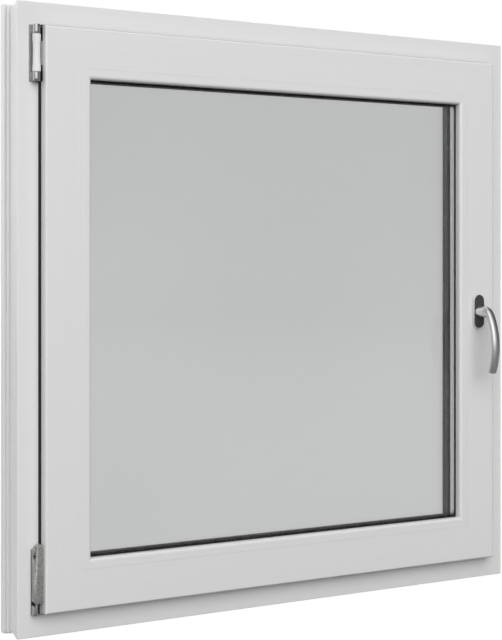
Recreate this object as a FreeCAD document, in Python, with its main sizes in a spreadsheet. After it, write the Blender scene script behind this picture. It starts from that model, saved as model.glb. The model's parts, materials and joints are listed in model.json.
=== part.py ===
import FreeCAD, Part
import math
import os
import re
import Sketcher

# Tilt and turn window of white plastic profiles, one sash, double glazed.
# Room side faces -Y, X runs to the right, Z up. The origin lies on the flat bearing rib
# of the bottom frame member, in the middle of the window's width.
# Two measures give every section: the inset from the window's outer edge towards the glass,
# and the depth from the room-side face of the piece towards outdoors.

SIZES = [
    # whole window
    ("window_width", 1000.0),
    ("window_height", 1000.0),
    # outer frame section
    ("frame_depth", 62.0),
    ("flange_thickness", 3.5),
    ("flange_groove_width", 1.5),
    ("flange_groove_inset", 3.5),
    ("side_front_inset", 0.8),
    ("side_bend_depth", 28.0),
    ("side_back_inset", 5.3),
    ("side_groove_start", 37.0),
    ("side_groove_width", 2.5),
    ("side_groove_inset", 9.0),
    ("block_inset", 3.0),
    ("rib_width", 12.0),
    ("rib_groove_width", 2.5),
    ("rib_groove_inset", 7.0),
    ("frame_edge_round", 1.0),
    ("rim_inset", 46.5),
    ("rim_depth", 14.0),
    ("drain_drop", 3.0),
    ("frame_leg_inset", 67.0),
    ("frame_leg_thickness", 20.0),
    ("leg_edge_drop", 3.0),
    # sash section
    ("reveal", 38.5),
    ("sash_depth", 60.0),
    ("lip_thickness", 17.2),
    ("lip_gap", 5.1),
    ("sash_edge_round", 3.0),
    ("hardware_gap", 12.0),
    ("hardware_groove_start", 9.0),
    ("hardware_groove_width", 16.0),
    ("hardware_groove_depth", 3.0),
    ("stile_width", 80.3),
    ("bead_width", 16.8),
    ("bead_round", 5.5),
    ("bead_depth", 12.9),
    ("bead_joint_round", 0.5),
    ("rebate_step", 3.0),
    # double glazing and seals
    ("pane_thickness", 4.0),
    ("pane_spacing", 16.0),
    ("pane_edge_gap", 5.0),
    ("inner_gasket_thickness", 2.4),
    ("outer_gasket_thickness", 3.0),
    ("inner_gasket_showing", 1.5),
    ("outer_gasket_showing", 2.8),
    ("gasket_width", 12.0),
    ("gasket_lip_depth", 12.0),
    ("edge_seal_width", 3.0),
    ("spacer_width", 6.5),
    ("lip_seal_overhang", 2.5),
    ("lip_seal_width", 5.0),
    ("leg_seal_setback", 1.5),
    ("leg_seal_width", 5.0),
    # handle
    ("handle_height", 498.6),
    ("rosette_width", 24.5),
    ("rosette_height", 63.0),
    ("rosette_thickness", 6.5),
    ("rosette_edge", 0.8),
    ("cover_thickness", 1.2),
    ("cover_margin", 0.3),
    ("spindle_size", 7.0),
    ("spindle_hole", 12.0),
    ("spindle_reach", 32.0),
    ("spindle_hole_depth", 36.0),
    ("turning_gap", 0.4),
    ("neck_diameter", 22.0),
    ("elbow_radius", 17.6),
    ("grip_projection", 51.3),
    ("grip_radius", 123.5),
    ("grip_bow_drop", 64.0),
    ("lever_drop", 111.6),
    ("grip_width", 17.8),
    ("grip_thickness", 13.4),
    # top hinge
    ("knuckle_inset", 29.0),
    ("knuckle_front", 8.4),
    ("knuckle_diameter", 12.5),
    ("hinge_pin_diameter", 6.0),
    ("hinge_fit", 0.1),
    ("hinge_edge", 0.6),
    ("top_hinge_drop", 36.7),
    ("cap_height", 15.0),
    ("sleeve_height", 59.6),
    ("sleeve_ring", 8.5),
    ("sleeve_flare", 0.5),
    ("sleeve_flare_length", 1.5),
    ("top_plate_inset", 19.7),
    ("top_plate_width", 18.0),
    ("top_plate_thickness", 1.5),
    ("stay_leaf_height", 37.6),
    ("stay_leaf_thickness", 4.4),
    ("notch_depth", 5.6),
    ("notch_inset", 8.0),
    # bottom hinge
    ("corner_inset", 23.2),
    ("corner_hinge_bottom", 54.4),
    ("corner_hinge_height", 93.0),
    ("corner_hinge_front", 14.0),
    ("corner_hinge_back", 2.0),
    ("corner_hinge_chamfer", 2.5),
    ("corner_hinge_cut", 8.0),
    ("corner_hinge_foot_cut", 4.0),
    ("bearing_bottom", 36.4),
    ("bearing_width", 3.5),
    ("bearing_front", 12.0),
    ("bearing_gap", 1.6),
    ("bearing_top_drop", 3.5),
    ("corner_pin_diameter", 4.0),
    ("corner_pin_reach", 12.0),
    ("adjuster_hole", 3.4),
    ("adjuster_depth", 4.0),
    ("adjuster_drop", 19.0),
    ("adjuster_back", 6.5),
    ("stop_inset", 34.8),
    ("stop_width", 3.0),
    ("stop_front", 9.0),
    ("stop_margin", 2.4),
    # drain caps on the outdoor face
    ("drain_cap_width", 42.0),
    ("drain_cap_height", 15.0),
    ("drain_cap_thickness", 3.0),
    ("drain_cap_round", 4.0),
    ("drain_cap_ease", 1.2),
    ("drain_cap_level", 26.0),
    ("drain_cap_from_corner", 220.0),
    ("drain_slot_width", 30.0),
    ("drain_slot_height", 4.0),
    ("drain_slot_depth", 6.0),
]

doc = FreeCAD.newDocument("TiltTurnWindow")
sheet = doc.addObject("Spreadsheet::Sheet", "Spec")
for row, (alias, value) in enumerate(SIZES, start=1):
    sheet.set("A%d" % row, alias)
    sheet.set("B%d" % row, str(value))
    sheet.setAlias("B%d" % row, alias)
doc.recompute()

ALIASES = re.compile(r"\b(%s)\b" % "|".join(alias for alias, value in SIZES))

# Places that several pieces share, in the words of the sheet.
FACE = "-(frame_depth - rib_width / 2)"
SASH_FACE = FACE + " - lip_gap - lip_thickness"
LEFT_EDGE = "-window_width / 2"
SASH_EDGE = "(rim_inset + hardware_gap)"
GLASS_LINE = "(reveal + stile_width)"
BEAD_LINE = "(reveal + stile_width - bead_width)"
REBATE = "(reveal + stile_width - bead_width - rebate_step)"
PANE_EDGE = "(reveal + stile_width - bead_width - rebate_step + pane_edge_gap)"
INNER_PANE = "(bead_depth + inner_gasket_thickness)"
GLAZING_BACK = "(bead_depth + inner_gasket_thickness + 2 * pane_thickness + pane_spacing)"
SASH_LEG = "(%s + outer_gasket_thickness)" % GLAZING_BACK
FRAME_LEG = "(frame_depth - frame_leg_thickness)"
GROOVE = "(frame_depth - rib_width - rib_groove_width)"
SPINDLE_INSET = "(reveal + stile_width / 2)"
CLEAN_THROUGH = "4 * frame_depth"

# Points closer than this count as touching.
TOUCH = 0.001


def named(text):
    """The same expression as another object reads it, with the sheet's name before each alias."""
    return ALIASES.sub(r"Spec.\1", text)


def worth(text):
    """The number that an expression of sheet names gives."""
    result = sheet.evalExpression(named(text).replace("Spec.", ""))
    return float(getattr(result, "Value", result))


def bind(feature, **properties):
    """Bind properties of a feature to expressions of sheet names."""
    for name, expression in properties.items():
        feature.setExpression(name, named(expression))


def place(feature, across="0", depth="0", height="0", turn=0):
    """Put a piece at bound coordinates, turned about the depth axis by whole quarter turns."""
    feature.Placement = FreeCAD.Placement(
        FreeCAD.Vector(worth(across), worth(depth), worth(height)),
        FreeCAD.Rotation(FreeCAD.Vector(0, 1, 0), turn),
    )
    for axis, expression in (("x", across), ("y", depth), ("z", height)):
        feature.setExpression("Placement.Base." + axis, named(expression))


def plane(body, role):
    """One of a body's own origin planes."""
    for feature in body.Origin.OriginFeatures:
        if feature.Role == role:
            return feature
    raise ValueError(role)


def new_body(label):
    """A body whose label names its file."""
    body = doc.addObject("PartDesign::Body", label)
    body.Label = label
    return body


def new_sketch(body, role, name):
    """A sketch on one of the body's origin planes."""
    sketch = body.newObject("Sketcher::SketchObject", name)
    sketch.AttachmentSupport = [(plane(body, role), "")]
    sketch.MapMode = "FlatFace"
    return sketch


def fix(sketch, kind, first, second, value, expression):
    """A dimension between two points of a sketch, bound to the sheet."""
    index = sketch.addConstraint(Sketcher.Constraint(kind, *first, *second, value))
    sketch.setExpression("Constraints[%d]" % index, named(expression))


def pin_point(sketch, element, end, across, along):
    """Hold a point of an element at two bound distances from the sketch's origin."""
    sides = (("DistanceX", across, -2), ("DistanceY", along, -1))
    for kind, expression, axis in sides:
        value = worth(expression)
        if abs(value) < TOUCH:
            sketch.addConstraint(Sketcher.Constraint("PointOnObject", element, end, axis))
        else:
            fix(sketch, kind, (-1, 1), (element, end), value, expression)


def draw(sketch, points):
    """A closed outline, anticlockwise.

    A point of two expressions starts a straight side, and a point of four starts an arc
    about the centre that the last two give.
    """
    first = sketch.GeometryCount
    places = [FreeCAD.Vector(worth(point[0]), worth(point[1]), 0) for point in points]
    for index, point in enumerate(points):
        start = places[index]
        end = places[(index + 1) % len(points)]
        if len(point) == 2:
            sketch.addGeometry(Part.LineSegment(start, end))
            continue
        centre = FreeCAD.Vector(worth(point[2]), worth(point[3]), 0)
        out = start - centre
        back = end - centre
        curve = Part.Circle(centre, FreeCAD.Vector(0, 0, 1), out.Length)
        begin = math.atan2(out.y, out.x)
        finish = math.atan2(back.y, back.x)
        sketch.addGeometry(Part.ArcOfCircle(curve, begin, finish))
    for index, point in enumerate(points):
        follower = first + (index + 1) % len(points)
        pin_point(sketch, first + index, 1, point[0], point[1])
        sketch.addConstraint(Sketcher.Constraint("Coincident", first + index, 2, follower, 1))
        if len(point) == 4:
            height = worth(point[3])
            fix(sketch, "DistanceY", (-1, 1), (first + index, 3), height, point[3])


def rounded(corners):
    """Outline points from corners, where a third expression rounds a square corner."""
    points = []
    for index, corner in enumerate(corners):
        if len(corner) == 2:
            points.append(corner)
            continue
        across, along, radius = corner
        here = (worth(across), worth(along))
        tangents = []
        for other in (corners[index - 1], corners[(index + 1) % len(corners)]):
            step_x = worth(other[0]) - here[0]
            step_y = worth(other[1]) - here[1]
            if abs(step_x) > abs(step_y):
                sign = "+" if step_x > 0 else "-"
                tangents.append(("%s %s %s" % (across, sign, radius), along, "x"))
            else:
                sign = "+" if step_y > 0 else "-"
                tangents.append((across, "%s %s %s" % (along, sign, radius), "y"))
        before, after = tangents
        centre_x = before[0] if before[2] == "x" else after[0]
        centre_y = before[1] if before[2] == "y" else after[1]
        points.append((before[0], before[1], centre_x, centre_y))
        points.append((after[0], after[1]))
    return points


def rectangle(low, high):
    """Corners of a rectangle from its low and high corner."""
    return [low, (high[0], low[1]), high, (low[0], high[1])]


def pad(body, sketch, length, name="Pad", backwards=False):
    """Raise a sketch by a bound length."""
    feature = body.newObject("PartDesign::Pad", name)
    feature.Profile = sketch
    feature.Reversed = backwards
    bind(feature, Length=length)
    doc.recompute()
    return feature


def pocket(body, sketch, length, name, backwards=False, both_ways=False):
    """Cut a sketch into the body by a bound length; it has to remove something."""
    before = body.Shape.Volume
    feature = body.newObject("PartDesign::Pocket", name)
    feature.Profile = sketch
    feature.Reversed = backwards
    feature.Midplane = both_ways
    bind(feature, Length=length)
    doc.recompute()
    if body.Shape.Volume >= before:
        raise ValueError("%s cuts nothing from %s" % (name, body.Label))
    return feature


def circle(sketch, across, along, diameter):
    """A full circle with bound centre and diameter."""
    middle = FreeCAD.Vector(worth(across), worth(along), 0)
    radius = worth("(%s) / 2" % diameter)
    element = sketch.addGeometry(Part.Circle(middle, FreeCAD.Vector(0, 0, 1), radius))
    pin_point(sketch, element, 3, across, along)
    index = sketch.addConstraint(Sketcher.Constraint("Radius", element, radius))
    sketch.setExpression("Constraints[%d]" % index, named("(%s) / 2" % diameter))


def ease(body, amount, wanted):
    """Chamfer the edges of the body whose box passes the test."""
    base = body.Tip
    chosen = ["Edge%d" % index for index, edge in enumerate(base.Shape.Edges, start=1)
              if wanted(edge.BoundBox)]
    if not chosen:
        raise ValueError("no edge to ease on %s" % body.Label)
    feature = body.newObject("PartDesign::Chamfer", "Chamfer")
    feature.Base = (base, chosen)
    bind(feature, Size=amount)
    doc.recompute()


# Mitred members of frame, sash and glazing beads.
# A member lies along its own X with the window's outer edge at Z = 0 and is turned into
# its side of the window; both ends are cut on the window's 45 degree corner lines.

FRAME_SECTION = [
    ("0", "0", "frame_edge_round"),
    ("flange_thickness", "0"),
    ("flange_thickness", "flange_groove_inset"),
    ("flange_thickness + flange_groove_width", "flange_groove_inset"),
    ("flange_thickness + flange_groove_width", "side_front_inset"),
    ("side_bend_depth", "side_back_inset"),
    ("side_groove_start", "side_back_inset"),
    ("side_groove_start", "side_groove_inset"),
    ("side_groove_start + side_groove_width", "side_groove_inset"),
    ("side_groove_start + side_groove_width", "block_inset"),
    (GROOVE, "block_inset"),
    (GROOVE, "rib_groove_inset"),
    (GROOVE + " + rib_groove_width", "rib_groove_inset"),
    (GROOVE + " + rib_groove_width", "0"),
    ("frame_depth", "0"),
    ("frame_depth", "frame_leg_inset - leg_edge_drop"),
    (FRAME_LEG, "frame_leg_inset"),
    (FRAME_LEG, "rim_inset - drain_drop"),
    ("rim_depth", "rim_inset - drain_drop"),
    ("rim_depth", "rim_inset"),
    ("0", "rim_inset", "frame_edge_round"),
]

HARDWARE_GROOVE = "(lip_thickness + hardware_groove_start)"

SASH_SECTION = [
    ("0", "reveal", "sash_edge_round"),
    ("lip_thickness", "reveal"),
    ("lip_thickness", SASH_EDGE),
    (HARDWARE_GROOVE, SASH_EDGE),
    (HARDWARE_GROOVE, SASH_EDGE + " + hardware_groove_depth"),
    (HARDWARE_GROOVE + " + hardware_groove_width", SASH_EDGE + " + hardware_groove_depth"),
    (HARDWARE_GROOVE + " + hardware_groove_width", SASH_EDGE),
    ("sash_depth", SASH_EDGE),
    ("sash_depth", GLASS_LINE + " - leg_edge_drop"),
    (SASH_LEG, GLASS_LINE),
    (SASH_LEG, REBATE),
    ("bead_depth", REBATE),
    ("bead_depth", BEAD_LINE),
    ("0", BEAD_LINE),
]

BEAD_SECTION = [
    ("0", BEAD_LINE, "bead_joint_round"),
    ("bead_depth", BEAD_LINE),
    ("bead_depth", GLASS_LINE),
    ("0", GLASS_LINE, "bead_round"),
]

SIDES = [
    ("bottom", "window_width", LEFT_EDGE, "0", 0),
    ("top", "window_width", "window_width / 2", "window_height", 180),
    ("left", "window_height", LEFT_EDGE, "window_height", 90),
    ("right", "window_height", "window_width / 2", "0", 270),
]


def member(family, section, side, face, reach):
    """One member of a mitred rectangle; reach is the section's largest inset."""
    name, length, across, height, turn = side
    body = new_body("%s_%s" % (family, name))
    sketch = new_sketch(body, "YZ_Plane", "Section")
    draw(sketch, rounded(section))
    pad(body, sketch, length)
    start_cut = [("0", "0"), (reach, reach), ("0", reach)]
    far = "%s - %s" % (length, reach)
    end_cut = [(length, "0"), (length, reach), (far, reach)]
    for cut_name, corners in (("StartMitre", start_cut), ("EndMitre", end_cut)):
        cut = new_sketch(body, "XZ_Plane", cut_name + "Outline")
        draw(cut, corners)
        pocket(body, cut, CLEAN_THROUGH, cut_name, both_ways=True)
    place(body, across, face, height, turn)
    return body


frame_members = {}
sash_members = {}
for side in SIDES:
    frame_members[side[0]] = member("frame", FRAME_SECTION, side, FACE, "(2 * frame_leg_inset)")
for side in SIDES:
    sash_members[side[0]] = member("sash", SASH_SECTION, side, SASH_FACE, "(2 * %s)" % GLASS_LINE)
for side in SIDES:
    member("bead", BEAD_SECTION, side, SASH_FACE, "(2 * %s)" % GLASS_LINE)

# Hole for the spindle in the handle stile

stile = sash_members["right"]
hole = new_sketch(stile, "XZ_Plane", "SpindleHoleOutline")
circle(hole, "handle_height", SPINDLE_INSET, "spindle_hole")
pocket(stile, hole, "spindle_hole_depth", "SpindleHole")

# Notch for the stay arm in the lip of the hinge stile

HINGE_HEIGHT = "(2 * cap_height + sleeve_height)"
HINGE_BOTTOM = "(window_height - top_hinge_drop - %s)" % HINGE_HEIGHT
hinge_stile = sash_members["left"]
notch = new_sketch(hinge_stile, "XY_Plane", "StayNotchOutline")
draw(notch, rectangle(("top_hinge_drop", "lip_thickness - notch_depth"),
                      ("top_hinge_drop + " + HINGE_HEIGHT, "lip_thickness")))
pocket(hinge_stile, notch, "reveal + notch_inset", "StayNotch", backwards=True)

# Drain slots through the outdoor leg of the bottom frame member, under their caps

sill = frame_members["bottom"]
DRAIN_LEFT = "drain_cap_from_corner"
DRAIN_RIGHT = "(window_width - drain_cap_from_corner)"
slots = new_sketch(sill, "XZ_Plane", "DrainSlotsOutline")
slots.AttachmentOffset = FreeCAD.Placement(
    FreeCAD.Vector(0, 0, -worth("frame_depth")), FreeCAD.Rotation())
slots.setExpression("AttachmentOffset.Base.z", named("-frame_depth"))
for slot_middle in (DRAIN_LEFT, DRAIN_RIGHT):
    draw(slots, rectangle(
        (slot_middle + " - drain_slot_width / 2", "drain_cap_level - drain_slot_height / 2"),
        (slot_middle + " + drain_slot_width / 2", "drain_cap_level + drain_slot_height / 2")))
pocket(sill, slots, "drain_slot_depth", "DrainSlots", backwards=True)


def ring_outline(sketch, outer, inner=None):
    """A rectangle set in from the window's edge, with another inside it where inner is given."""
    for inset in (outer, inner):
        if inset is not None:
            far = ("window_width - (%s)" % inset, "window_height - (%s)" % inset)
            draw(sketch, rectangle((inset, inset), far))


def ring(label, outer, inner, depth, thickness):
    """A flat rectangular ring parallel to the glass, or a sheet where inner is None."""
    body = new_body(label)
    sketch = new_sketch(body, "XZ_Plane", "Outline")
    ring_outline(sketch, outer, inner)
    pad(body, sketch, thickness, backwards=True)
    place(body, LEFT_EDGE, depth, "0")
    return body


# Double glazing: two panes, the spacer and the seal round their edge

INNER_FACE = SASH_FACE + " + " + INNER_PANE
AIR_FACE = INNER_FACE + " + pane_thickness"
SEAL_EDGE = PANE_EDGE + " + edge_seal_width"
ring("glass_inner_pane", PANE_EDGE, None, INNER_FACE, "pane_thickness")
ring("glass_outer_pane", PANE_EDGE, None, AIR_FACE + " + pane_spacing", "pane_thickness")
ring("edge_seal", PANE_EDGE, SEAL_EDGE, AIR_FACE, "pane_spacing")
ring("spacer_bar", SEAL_EDGE, SEAL_EDGE + " + spacer_width", AIR_FACE, "pane_spacing")

# Gaskets on both sides of the glazing; the outer one also covers the edge of the sash's leg

INSIDE_EDGE = GLASS_LINE + " + inner_gasket_showing"
OUTSIDE_EDGE = GLASS_LINE + " + outer_gasket_showing"
ring("glazing_gasket_inside", INSIDE_EDGE + " - gasket_width", INSIDE_EDGE,
     SASH_FACE + " + bead_depth", "inner_gasket_thickness")
outside = ring("glazing_gasket_outside", OUTSIDE_EDGE + " - gasket_width", OUTSIDE_EDGE,
               SASH_FACE + " + " + GLAZING_BACK, "outer_gasket_thickness")
lip = new_sketch(outside, "XZ_Plane", "LipOutline")
ring_outline(lip, GLASS_LINE, OUTSIDE_EDGE)
pad(outside, lip, "gasket_lip_depth", "Lip", backwards=True)

# Seal under the sash's lip, cut back at both hinges, and the seal on the frame's leg

SEAL_OUT = "(reveal - lip_seal_overhang)"
lip_seal = ring("lip_seal", SEAL_OUT, SEAL_OUT + " + lip_seal_width", FACE + " - lip_gap",
                "lip_gap")
cut_back = new_sketch(lip_seal, "XZ_Plane", "HingeGapsOutline")
CORNER_TOP = "corner_hinge_bottom + corner_hinge_height"
draw(cut_back, rectangle(("0", "0"), ("reveal", CORNER_TOP)))
draw(cut_back, rectangle(("0", HINGE_BOTTOM), ("reveal", "window_height")))
pocket(lip_seal, cut_back, "lip_gap", "HingeGaps")
LEG_SEAL_END = "(frame_leg_inset - leg_seal_setback)"
ring("leg_seal", LEG_SEAL_END + " - leg_seal_width", LEG_SEAL_END, SASH_FACE + " + sash_depth",
     "(%s - sash_depth + lip_gap + lip_thickness)" % FRAME_LEG)

# Handle: rosette with its cover, and the lever with its square spindle.
# These pieces are drawn about the spindle's axis, from the face of the stile.

HANDLE_ACROSS = "window_width / 2 - " + SPINDLE_INSET
NECK_START = "(rosette_thickness + cover_thickness + turning_gap)"


def stadium(label, margin, depth, thickness):
    """An upright plate with round ends, the rosette's outline less a margin, bored in the middle."""
    body = new_body(label)
    sketch = new_sketch(body, "XZ_Plane", "Outline")
    half = "(rosette_width / 2 - %s)" % margin
    straight = "(rosette_height - rosette_width) / 2"
    draw(sketch, [
        (half, "-" + straight),
        (half, straight, "0", straight),
        ("-" + half, straight),
        ("-" + half, "-" + straight, "0", "-" + straight),
    ])
    circle(sketch, "0", "0", "spindle_hole")
    pad(body, sketch, thickness)
    place(body, HANDLE_ACROSS, depth, "handle_height")
    return body


def block(label, across, depth, height, size):
    """A plain bar: its near low corner and its three sizes."""
    body = new_body(label)
    sketch = new_sketch(body, "XY_Plane", "Outline")
    draw(sketch, rectangle(("0", "0"), (size[0], size[1])))
    pad(body, sketch, size[2])
    place(body, across, depth, height)
    return body


rosette = stadium("handle_rosette", "0", SASH_FACE, "rosette_thickness")
rosette_front = -worth("rosette_thickness")
hole_size = worth("spindle_hole")
ease(rosette, "rosette_edge",
     lambda box: box.YMax < rosette_front + TOUCH and max(box.XMax, -box.XMin) > hole_size)
stadium("rosette_cover", "(rosette_edge + cover_margin)", SASH_FACE + " - rosette_thickness",
        "cover_thickness")
block("handle_spindle", HANDLE_ACROSS + " - spindle_size / 2",
      SASH_FACE + " - " + NECK_START, "handle_height - spindle_size / 2",
      ("spindle_size", NECK_START + " + spindle_reach", "spindle_size"))


# The lever is a round neck, an elbow and a long bowed grip, tangent to each other.
# It is measured outwards from the stile and downwards from the spindle.

BOW_SINE = "((grip_bow_drop - elbow_radius) / (grip_radius - elbow_radius))"
BOW_COSINE = "sqrt(1 - %s ^ 2)" % BOW_SINE
ELBOW_OUT = "(grip_projection - grip_radius + (grip_radius - elbow_radius) * %s)" % BOW_COSINE
JOIN_OUT = "(grip_projection - grip_radius + grip_radius * %s)" % BOW_COSINE
JOIN_DOWN = "(grip_bow_drop - grip_radius * %s)" % BOW_SINE
BOW_ANGLE = math.asin(worth(BOW_SINE))
GRIP_SIDES = 24


def across_lever(name, out, down, heading):
    """A sketch square to the lever's run at a bound place, turned by its heading in radians."""
    sketch = new_sketch(lever, "XZ_Plane", name)
    sketch.AttachmentOffset = FreeCAD.Placement(
        FreeCAD.Vector(0, -worth(down), worth(out)),
        FreeCAD.Rotation(FreeCAD.Vector(1, 0, 0), math.degrees(heading)),
    )
    sketch.setExpression("AttachmentOffset.Base.y", named("-" + down))
    sketch.setExpression("AttachmentOffset.Base.z", named(out))
    return sketch


lever = new_body("handle_lever")
neck_start = across_lever("NeckOutline", NECK_START, "0", 0)
circle(neck_start, "0", "0", "neck_diameter")
pad(lever, neck_start, ELBOW_OUT + " - " + NECK_START, "Neck")

neck_end = across_lever("NeckEnd", ELBOW_OUT, "0", 0)
circle(neck_end, "0", "0", "neck_diameter")
elbow_end = across_lever("ElbowEnd", JOIN_OUT, JOIN_DOWN, math.pi / 2 - BOW_ANGLE)
half_width = worth("grip_width / 2")
half_thickness = worth("grip_thickness / 2")
elbow_end.addGeometry(Part.Ellipse(
    FreeCAD.Vector(half_width, 0, 0), FreeCAD.Vector(0, half_thickness, 0), FreeCAD.Vector()))

run = new_sketch(lever, "YZ_Plane", "ElbowRun")
centre = FreeCAD.Vector(-worth(ELBOW_OUT), -worth("elbow_radius"), 0)
turn = Part.Circle(centre, FreeCAD.Vector(0, 0, 1), worth("elbow_radius"))
run.addGeometry(Part.ArcOfCircle(turn, math.pi / 2, math.pi - BOW_ANGLE))
pin_point(run, 0, 1, "-" + ELBOW_OUT, "0")
pin_point(run, 0, 2, "-" + JOIN_OUT, "-" + JOIN_DOWN)
fix(run, "DistanceY", (-1, 1), (0, 3), -worth("elbow_radius"), "-elbow_radius")
elbow = lever.newObject("PartDesign::AdditivePipe", "Elbow")
elbow.Profile = neck_end
elbow.Spine = (run, ["Edge1"])
elbow.Sections = [elbow_end]
elbow.Transformation = "Multisection"
doc.recompute()

# The grip keeps one oval section, drawn with short straight sides, and turns about the
# bow's own centre line.

grip_outline = across_lever("GripOutline", JOIN_OUT, JOIN_DOWN, math.pi / 2 - BOW_ANGLE)
oval = []
for step in range(GRIP_SIDES):
    angle = 2 * math.pi * step / GRIP_SIDES
    oval.append(("grip_width / 2 * %.6f" % math.cos(angle),
                 "grip_thickness / 2 * %.6f" % math.sin(angle)))
draw(grip_outline, oval)
bow_axis = grip_outline.addGeometry(Part.LineSegment(
    FreeCAD.Vector(-half_width, -worth("grip_radius"), 0),
    FreeCAD.Vector(half_width, -worth("grip_radius"), 0)), True)
for end in (1, 2):
    fix(grip_outline, "DistanceY", (-1, 1), (bow_axis, end), -worth("grip_radius"), "-grip_radius")
grip = lever.newObject("PartDesign::Revolution", "Grip")
grip.Profile = grip_outline
grip.ReferenceAxis = (grip_outline, ["Axis0"])
bind(grip, Angle="asin(%s) + asin((lever_drop - grip_bow_drop) / grip_radius)" % BOW_SINE)
doc.recompute()
place(lever, HANDLE_ACROSS, SASH_FACE, "handle_height")

# Top hinge: a plate on the frame with two knuckles, and the stay arm's sleeve between them,
# all on one pin

PIN_ACROSS = LEFT_EDGE + " + knuckle_inset"
PIN_DEPTH = FACE + " - knuckle_front"
PIN_BORE = "(hinge_pin_diameter + 2 * hinge_fit)"


def knuckle(label, bottom):
    """A knuckle of the hinge plate: a bored barrel that runs back to the plate."""
    body = new_body(label)
    sketch = new_sketch(body, "XY_Plane", "Outline")
    wall = "knuckle_diameter / 2"
    back = "knuckle_front - top_plate_thickness"
    draw(sketch, [
        (wall, "0"),
        (wall, back),
        ("-" + wall, back),
        ("-" + wall, "0", "0", "0"),
    ])
    circle(sketch, "0", "0", PIN_BORE)
    pad(body, sketch, "cap_height")
    height = worth("cap_height")
    ease(body, "hinge_edge", lambda box: box.YMin < -worth(wall) + TOUCH
         and (box.ZMax < TOUCH or box.ZMin > height - TOUCH))
    place(body, PIN_ACROSS, PIN_DEPTH, bottom)


knuckle("hinge_bottom_cap", HINGE_BOTTOM)
knuckle("hinge_top_cap", HINGE_BOTTOM + " + cap_height + sleeve_height")

sleeve = new_body("stay_sleeve")
SLEEVE_WALL = "knuckle_diameter / 2"
SLEEVE_END = "(sleeve_height - 2 * hinge_fit)"
half_section = new_sketch(sleeve, "XZ_Plane", "HalfSection")
draw(half_section, [
    (PIN_BORE + " / 2", "0"),
    (SLEEVE_WALL + " + sleeve_flare", "0"),
    (SLEEVE_WALL + " + sleeve_flare", "sleeve_ring"),
    (SLEEVE_WALL, "sleeve_ring + sleeve_flare_length"),
    (SLEEVE_WALL, SLEEVE_END + " - sleeve_ring - sleeve_flare_length"),
    (SLEEVE_WALL + " + sleeve_flare", SLEEVE_END + " - sleeve_ring"),
    (SLEEVE_WALL + " + sleeve_flare", SLEEVE_END),
    (PIN_BORE + " / 2", SLEEVE_END),
])
turning = sleeve.newObject("PartDesign::Revolution", "Turning")
turning.Profile = half_section
turning.ReferenceAxis = (half_section, ["V_Axis"])
turning.Angle = 360
place(sleeve, PIN_ACROSS, PIN_DEPTH, HINGE_BOTTOM + " + cap_height + hinge_fit")

pin = doc.addObject("Part::Cylinder", "hinge_pin")
pin.Label = "hinge_pin"
bind(pin, Radius="hinge_pin_diameter / 2", Height=HINGE_HEIGHT)
place(pin, PIN_ACROSS, PIN_DEPTH, HINGE_BOTTOM)
block("hinge_plate", LEFT_EDGE + " + top_plate_inset", FACE + " - top_plate_thickness",
      HINGE_BOTTOM, ("top_plate_width", "top_plate_thickness", HINGE_HEIGHT))
ARM_START = "(knuckle_inset + knuckle_diameter / 2)"
block("stay_arm", LEFT_EDGE + " + " + ARM_START, FACE + " - lip_gap - notch_depth",
      HINGE_BOTTOM + " + (%s - stay_leaf_height) / 2" % HINGE_HEIGHT,
      ("reveal + notch_inset - " + ARM_START, "stay_leaf_thickness", "stay_leaf_height"))

# Bottom hinge: the corner hinge stands on a pin over the corner bearing, on one plate

CORNER_WIDTH = "(reveal - corner_inset)"
CORNER_ACROSS = LEFT_EDGE + " + corner_inset"
corner = new_body("corner_hinge")
front = new_sketch(corner, "XZ_Plane", "Outline")
draw(front, [
    ("corner_hinge_foot_cut", "0"),
    (CORNER_WIDTH, "0"),
    (CORNER_WIDTH, "corner_hinge_height"),
    ("corner_hinge_cut", "corner_hinge_height"),
    ("0", "corner_hinge_height - corner_hinge_cut"),
    ("0", "corner_hinge_foot_cut"),
])
pad(corner, front, "corner_hinge_front - corner_hinge_back")
front_face = -worth("corner_hinge_front - corner_hinge_back")
corner_side = worth(CORNER_WIDTH)
ease(corner, "corner_hinge_chamfer",
     lambda box: box.YMax < front_face + TOUCH and box.XMin < corner_side - TOUCH
     and box.ZMax > TOUCH)
adjuster = new_sketch(corner, "YZ_Plane", "AdjusterOutline")
circle(adjuster, "-adjuster_back", "corner_hinge_height - adjuster_drop", "adjuster_hole")
pocket(corner, adjuster, "adjuster_depth", "AdjusterHole", backwards=True)
socket = new_sketch(corner, "XY_Plane", "PinSocketOutline")
circle(socket, "knuckle_inset - corner_inset", "-(knuckle_front - corner_hinge_back)",
       "corner_pin_diameter + 2 * hinge_fit")
pocket(corner, socket, "corner_pin_reach", "PinSocket", backwards=True)
place(corner, CORNER_ACROSS, FACE + " - corner_hinge_back", "corner_hinge_bottom")

PLATE_TOP = "corner_hinge_bottom + corner_hinge_height - corner_hinge_cut"
block("corner_plate", CORNER_ACROSS, FACE + " - corner_hinge_back", "bearing_bottom",
      (CORNER_WIDTH, "corner_hinge_back", PLATE_TOP + " - bearing_bottom"))

bearing = new_body("corner_bearing")
BEARING_TOP = "(corner_hinge_bottom - bearing_bottom - bearing_gap)"
side_view = new_sketch(bearing, "XZ_Plane", "Outline")
draw(side_view, [
    ("0", "0"),
    (CORNER_WIDTH, "0"),
    (CORNER_WIDTH, "bearing_gap"),
    ("bearing_width", "bearing_gap"),
    ("bearing_width", BEARING_TOP + " - bearing_top_drop"),
    ("0", BEARING_TOP),
])
pad(bearing, side_view, "bearing_front - corner_hinge_back")
place(bearing, CORNER_ACROSS, FACE + " - corner_hinge_back", "bearing_bottom")

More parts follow.
